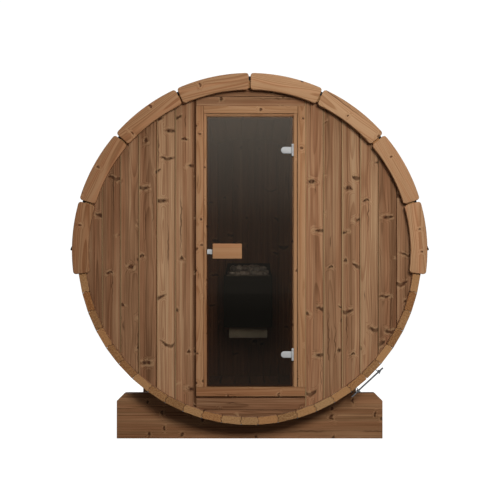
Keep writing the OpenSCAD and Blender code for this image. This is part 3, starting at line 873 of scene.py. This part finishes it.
def hex_nut(z0, z1, across_flats, hole, segments=48):
    """A chamfered hexagon nut along z, with its bore."""
    soft, sixth = 0.9 * MM, math.pi / 6
    corner = across_flats / 2 / math.cos(sixth)
    turns = np.arange(segments) * 2 * math.pi / segments
    flat = across_flats / 2 / np.cos((turns + sixth) % (2 * sixth) - sixth)
    rows = ((z0, 0.94), (z0 + soft, 1.0), (z1 - soft, 1.0), (z1, 0.94))
    rings = [ring(np.minimum(flat, corner * share), z, segments) for z, share in rows]
    return loft(rings + [ring(hole, z, segments) for z in (z1, z0)], closed=True)


def make_tensioners():
    out = np.array([math.cos(TENSION), 0, -math.sin(TENSION)])
    rod = np.array([math.sin(TENSION), 0, math.cos(TENSION)])
    side = (0, 1, 0)
    face = EAR_AT + 2 * MM
    washer = ring_shape(5.3 * MM, 10 * MM, face, face + 2.3 * MM)
    nut = hex_nut(face + 2.4 * MM, face + 10.4 * MM, 17 * MM, 4.9 * MM)
    for name in ("tensioner_front", "tensioner_rear"):
        origin = np.array([0, sum(spans(name)[1]) / 2, AXIS_H]) + out * ROD_R_FROM_AXIS
        build = Build()
        build.add(turned(threaded(sum(ROD_ENDS), 5 * MM), origin - rod * ROD_ENDS[0], out, side, rod))
        for sense in (-1, 1):
            for shape in (washer, nut):
                build.add(turned(shape, origin, out, side, rod * sense))
        build.piece(name, steel, "band_steel", sharp=25.0)


# ---- what it stands on


def make_cradles():
    for name in ("cradle_front", "cradle_rear"):
        (_, half), y, (_, top) = spans(name)
        cut = 45 * MM
        reach = math.sqrt(BARREL_R ** 2 - (AXIS_H - top) ** 2)
        turn = math.atan2(top - AXIS_H, reach)
        saddle = arc((0, AXIS_H), BARREL_R + 0.4 * MM, turn, -math.pi - turn, 72)
        outline = np.vstack([[(-half, 0), (half, 0), (half, top - cut), (half - cut, top)], saddle,
                             [(-half + cut, top), (-half, top - cut)]])
        build = Build()
        build.add(solid(outline, *y, rounding(2.2 * MM)), "x", "z", pith=0.05, tone=0.5, knots=0.62)
        build.piece(name, cradle_wood, "cradle_wood")

    (_, half), y, (base, _) = spans("cradle_rails")
    build = Build()
    for side in (-1, 1):
        xs = np.linspace(half - 45 * MM, half, 8)
        top = AXIS_H - np.sqrt(BARREL_R ** 2 - xs ** 2) - 0.4 * MM
        outline = np.vstack([[(xs[0], base), (xs[-1], base)], np.column_stack([xs, top])[::-1]])
        if side < 0:
            outline = (outline * (-1, 1))[::-1]
        build.add(solid(outline, *y, chamfer(1 * MM)), "y", "z")
    build.piece("cradle_rails", cradle_wood, "cradle_wood")


def make_deck():
    low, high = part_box("floor_deck")
    slat_w, slat_t, gap = 94 * MM, 26 * MM, 10 * MM
    under_slats = high.z - slat_t
    build = Build()
    for i in range(round((high.x - low.x + gap) / (slat_w + gap))):
        x = low.x + i * (slat_w + gap)
        build.add(slab((x, x + slat_w), (low.y, high.y), (under_slats, high.z), rounding(2 * MM, 2), 3 * MM), "y", "x")
    bearers, bearer_w, bearer_in = 4, 40 * MM, 60 * MM
    xs = np.linspace(low.x, high.x, 24)
    round_z = AXIS_H - np.sqrt((INNER_R - 0.6 * MM) ** 2 - xs ** 2)
    kept = round_z < under_slats - 2 * MM
    outline = np.vstack([np.column_stack([xs, round_z])[kept],
                         [(xs[kept][-1], under_slats), (xs[kept][0], under_slats)]])
    for y in np.linspace(low.y + bearer_in, high.y - bearer_in - bearer_w, bearers):
        build.add(solid(outline, y, y + bearer_w, chamfer(1 * MM)), "x", "z")
    build.piece("floor_deck", deck_wood, "deck_wood")


# ---- the heater


def rough_stone(centre, size):
    """One broken, slightly rounded stone."""
    work = bmesh.new()
    bmesh.ops.create_icosphere(work, subdivisions=3, radius=1.0)
    points = np.array([v.co for v in work.verts])
    faces = [tuple(v.index for v in f.verts) for f in work.faces]
    work.free()
    shape = np.ones(len(points))
    for _ in range(11):
        facet = np.array([rng.gauss(0, 1) for _ in range(3)])
        facet /= np.linalg.norm(facet)
        depth = rng.uniform(0.66, 0.9)
        reach = points @ facet
        shape = np.minimum(shape, np.where(reach > 0.05, depth / np.maximum(reach, 0.05), 9))
    stretch = [rng.uniform(0.8, 1.2), rng.uniform(0.8, 1.2), rng.uniform(0.65, 0.95)]
    return points * shape[:, None] * stretch * size + centre, faces


def make_heater():
    low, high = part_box("heater_case")
    wall, depth, rim_h = 20 * MM, 270 * MM, 10 * MM
    back, rim = low.y + depth, high.z
    edge_z = rim - rim_h
    body_top = rim - 60 * MM
    case_x, case_y = (low.x, high.x), (low.y, back)
    inside_x = (low.x + wall, high.x - wall)
    build, trim = Build(), Build()
    build.add(solid(rectangle(*case_x, *case_y, 9 * MM, 4), low.z, body_top, rounding(2 * MM, 2), "z"))
    sides = (((low.x, inside_x[0]), case_y, build), ((inside_x[1], high.x), case_y, build),
             (inside_x, (low.y, low.y + wall), trim), (inside_x, (back - wall, back), build))
    for x, y, edging in sides:
        build.add(solid(rectangle(*x, *y), body_top - 2 * MM, edge_z, chamfer(0.6 * MM), "z"))
        edging.add(solid(rectangle(*x, *y), edge_z, rim, rounding(2.5 * MM), "z"))
    # A sheet guard behind the stones, which narrows towards its top.
    guard_z = rim + 90 * MM
    guard = [(low.x + 2 * MM, edge_z), (high.x - 2 * MM, edge_z),
             (high.x - 15 * MM, guard_z), (low.x + 22 * MM, guard_z)]
    build.add(solid(guard, back - 4 * MM, back - 1 * MM, chamfer(0.5 * MM)))
    # The front rim strip wears the pale painted highlight.
    trim.piece("heater_rim", rim_paint)
    # A row of air slots, and the bracket to the wall.
    for x in np.linspace(low.x + 30 * MM, high.x - 30 * MM, 12):
        build.add(slab((x - 4 * MM, x + 4 * MM), (low.y - 0.6 * MM, low.y + 2 * MM),
                       (low.z + 30 * MM, low.z + 70 * MM), chamfer(0.4 * MM), 3.9 * MM, 4))
    mid = sum(case_x) / 2
    build.add(slab((mid - 90 * MM, mid + 90 * MM), (back - 1 * MM, high.y), (low.z + 100 * MM, low.z + 260 * MM),
                   chamfer(1 * MM), 6 * MM))
    build.piece("heater_case", heater_paint, "heater_case")

    build = Build()
    stones_x, stones_y, _ = spans("heater_stones")
    width, deep = stones_x[1] - stones_x[0], stones_y[1] - stones_y[0]
    layers = ((rim - 22 * MM, 7, 6, 0.92), (rim + 14 * MM, 7, 5, 0.92), (rim + 48 * MM, 6, 4, 0.84))
    for z, columns, rows, share in layers:
        for i in range(columns):
            for j in range(rows):
                x = sum(stones_x) / 2 + width * share * ((i + 0.5) / columns - 0.5) + rng.uniform(-5, 5) * MM
                y = sum(stones_y) / 2 + deep * share * ((j + 0.5) / rows - 0.5) + rng.uniform(-5, 5) * MM
                build.add(rough_stone((x, y, z + rng.uniform(-6, 6) * MM), rng.uniform(23, 31) * MM))
    build.piece("heater_stones", heater_stone, "heater_stone", sharp=40.0)

    x, y, z = spans("heater_control")
    build = Build()
    build.add(slab(x, y, (z[0], z[1] - 1 * MM), rounding(4 * MM), 6 * MM, 4))
    build.piece("heater_control", control_paint, "heater_control")


# ---- studio


def make_camera():
    """The photo's camera: level, 6.7 m in front of the front wall, and aimed by its shifts."""
    data = bpy.data.cameras.new("camera")
    data.sensor_width = 36.0
    data.lens = 85.75
    data.shift_x = 0.0007
    data.shift_y = 0.087
    data.clip_end = 100.0
    camera = bpy.data.objects.new("camera", data)
    camera.location = (0.0, -7.903, 0.851)
    camera.rotation_euler = (math.radians(90), 0, 0)
    bpy.context.scene.collection.objects.link(camera)
    bpy.context.scene.camera = camera


def area_light(name, place, target, width, height, watts, colour=(1, 1, 1)):
    data = bpy.data.lights.new(name, "AREA")
    data.shape = "RECTANGLE"
    data.size, data.size_y = width, height
    data.energy = watts
    data.color = colour
    light = bpy.data.objects.new(name, data)
    light.location = place
    light.rotation_euler = (Vector(target) - Vector(place)).to_track_quat("-Z", "Y").to_euler()
    bpy.context.scene.collection.objects.link(light)
    return light


def make_world():
    """White behind everything. A dim room lights the part, and its gloss mirrors one that is bright just above the
    horizon and dark below it. Rooms are (sine of the height above the horizon, light) pairs."""
    world = bpy.data.worlds.new("studio")
    n = Nodes(world)
    height = n.split(n.new("TexCoord").outputs["Generated"])[2]
    rays = n.new("LightPath").outputs

    def room(*levels):
        stops = [((sine + 1) / 2, (light,) * 3) for sine, light in levels]
        return n.new("Background", {0: n.ramp(n.line(height, -1, 1), stops)}).outputs[0]

    light = room((-1.0, 0.03), (0.0, 0.09), (0.3, 0.13), (1.0, 0.20))
    ground = room((-1.0, 0.30), (-0.073, 0.26), (-0.05, 0.18), (-0.035, 0.13), (-0.018, 0.115), (0.0, 0.19),
                  (1.0, 0.19))
    walls = room((-1.0, 0.26), (0.0, 0.26), (0.02, 0.28), (0.06, 0.39), (0.10, 1.0), (0.148, 1.85), (0.5, 0.6),
                 (1.0, 0.4))
    mirrored = n.either(n.math("GREATER_THAN", height, 0.0), ground, walls)
    white = n.new("Background", {0: (1, 1, 1), 1: 1.05}).outputs[0]
    shown = n.either(rays["Is Camera Ray"], n.either(rays["Is Glossy Ray"], light, mirrored), white)
    n.new("OutputWorld", {0: shown})
    bpy.context.scene.world = world


def make_floor():
    """A pale floor that fades to white, with a soft shadow."""
    n = Nodes("pale_floor")
    ray = n.new("LightPath").outputs["Is Camera Ray"]
    shade = n.line(n.noise(n.place(), 3.0, 3.0), 0.3, 0.7, 0.28, 0.31)
    pale = n.new("BsdfDiffuse", {"Color": n.vector(shade, shade, shade)}).outputs[0]
    glow = n.new("Emission", {"Color": (1, 1, 1), "Strength": 0.98}).outputs[0]
    seen = n.new("AddShader", {0: pale, 1: glow}).outputs[0]
    dim = n.new("BsdfDiffuse", {"Color": (0.20, 0.19, 0.18)}).outputs[0]
    mesh = bpy.data.meshes.new("floor")
    reach = 30.0
    corners = rectangle(-reach, reach, -reach, reach)
    mesh.from_pydata([(x, y, 0) for x, y in corners], [], [(0, 1, 2, 3)])
    mesh.materials.append(n.shown(n.either(ray, dim, seen)))
    floor = bpy.data.objects.new("floor", mesh)
    floor.visible_glossy = False
    bpy.context.scene.collection.objects.link(floor)


make_camera()
make_world()
make_floor()
key = area_light("key", (1.05, -6.6, 2.22), (0.05, -1.2, 1.08), 1.0, 1.0, 196)
key.visible_glossy = False
area_light("overhead", (0.6, -2.4, 4.3), (0.1, -1.1, 1.0), 2.4, 1.4, 22)
area_light("inside", (0.0, -0.20, 1.12), (-0.05, 1.05, 1.00), 0.4, 0.5, 2.4, (1.0, 0.93, 0.86))
area_light("back", (-1.6, 6.6, 2.9), (0.0, 1.1, 1.0), 2.0, 2.0, 150)
bpy.context.scene.view_settings.view_transform = "Standard"

make_barrel()
make_trims()
make_walls()
make_frame()
make_door()
make_hinges()
make_roof()
make_tensioners()
make_cradles()
make_deck()
make_heater()
for band in ("band_front", "band_rear"):
    materials = frame["nodes"][band].data.materials
    materials.clear()
    materials.append(steel)
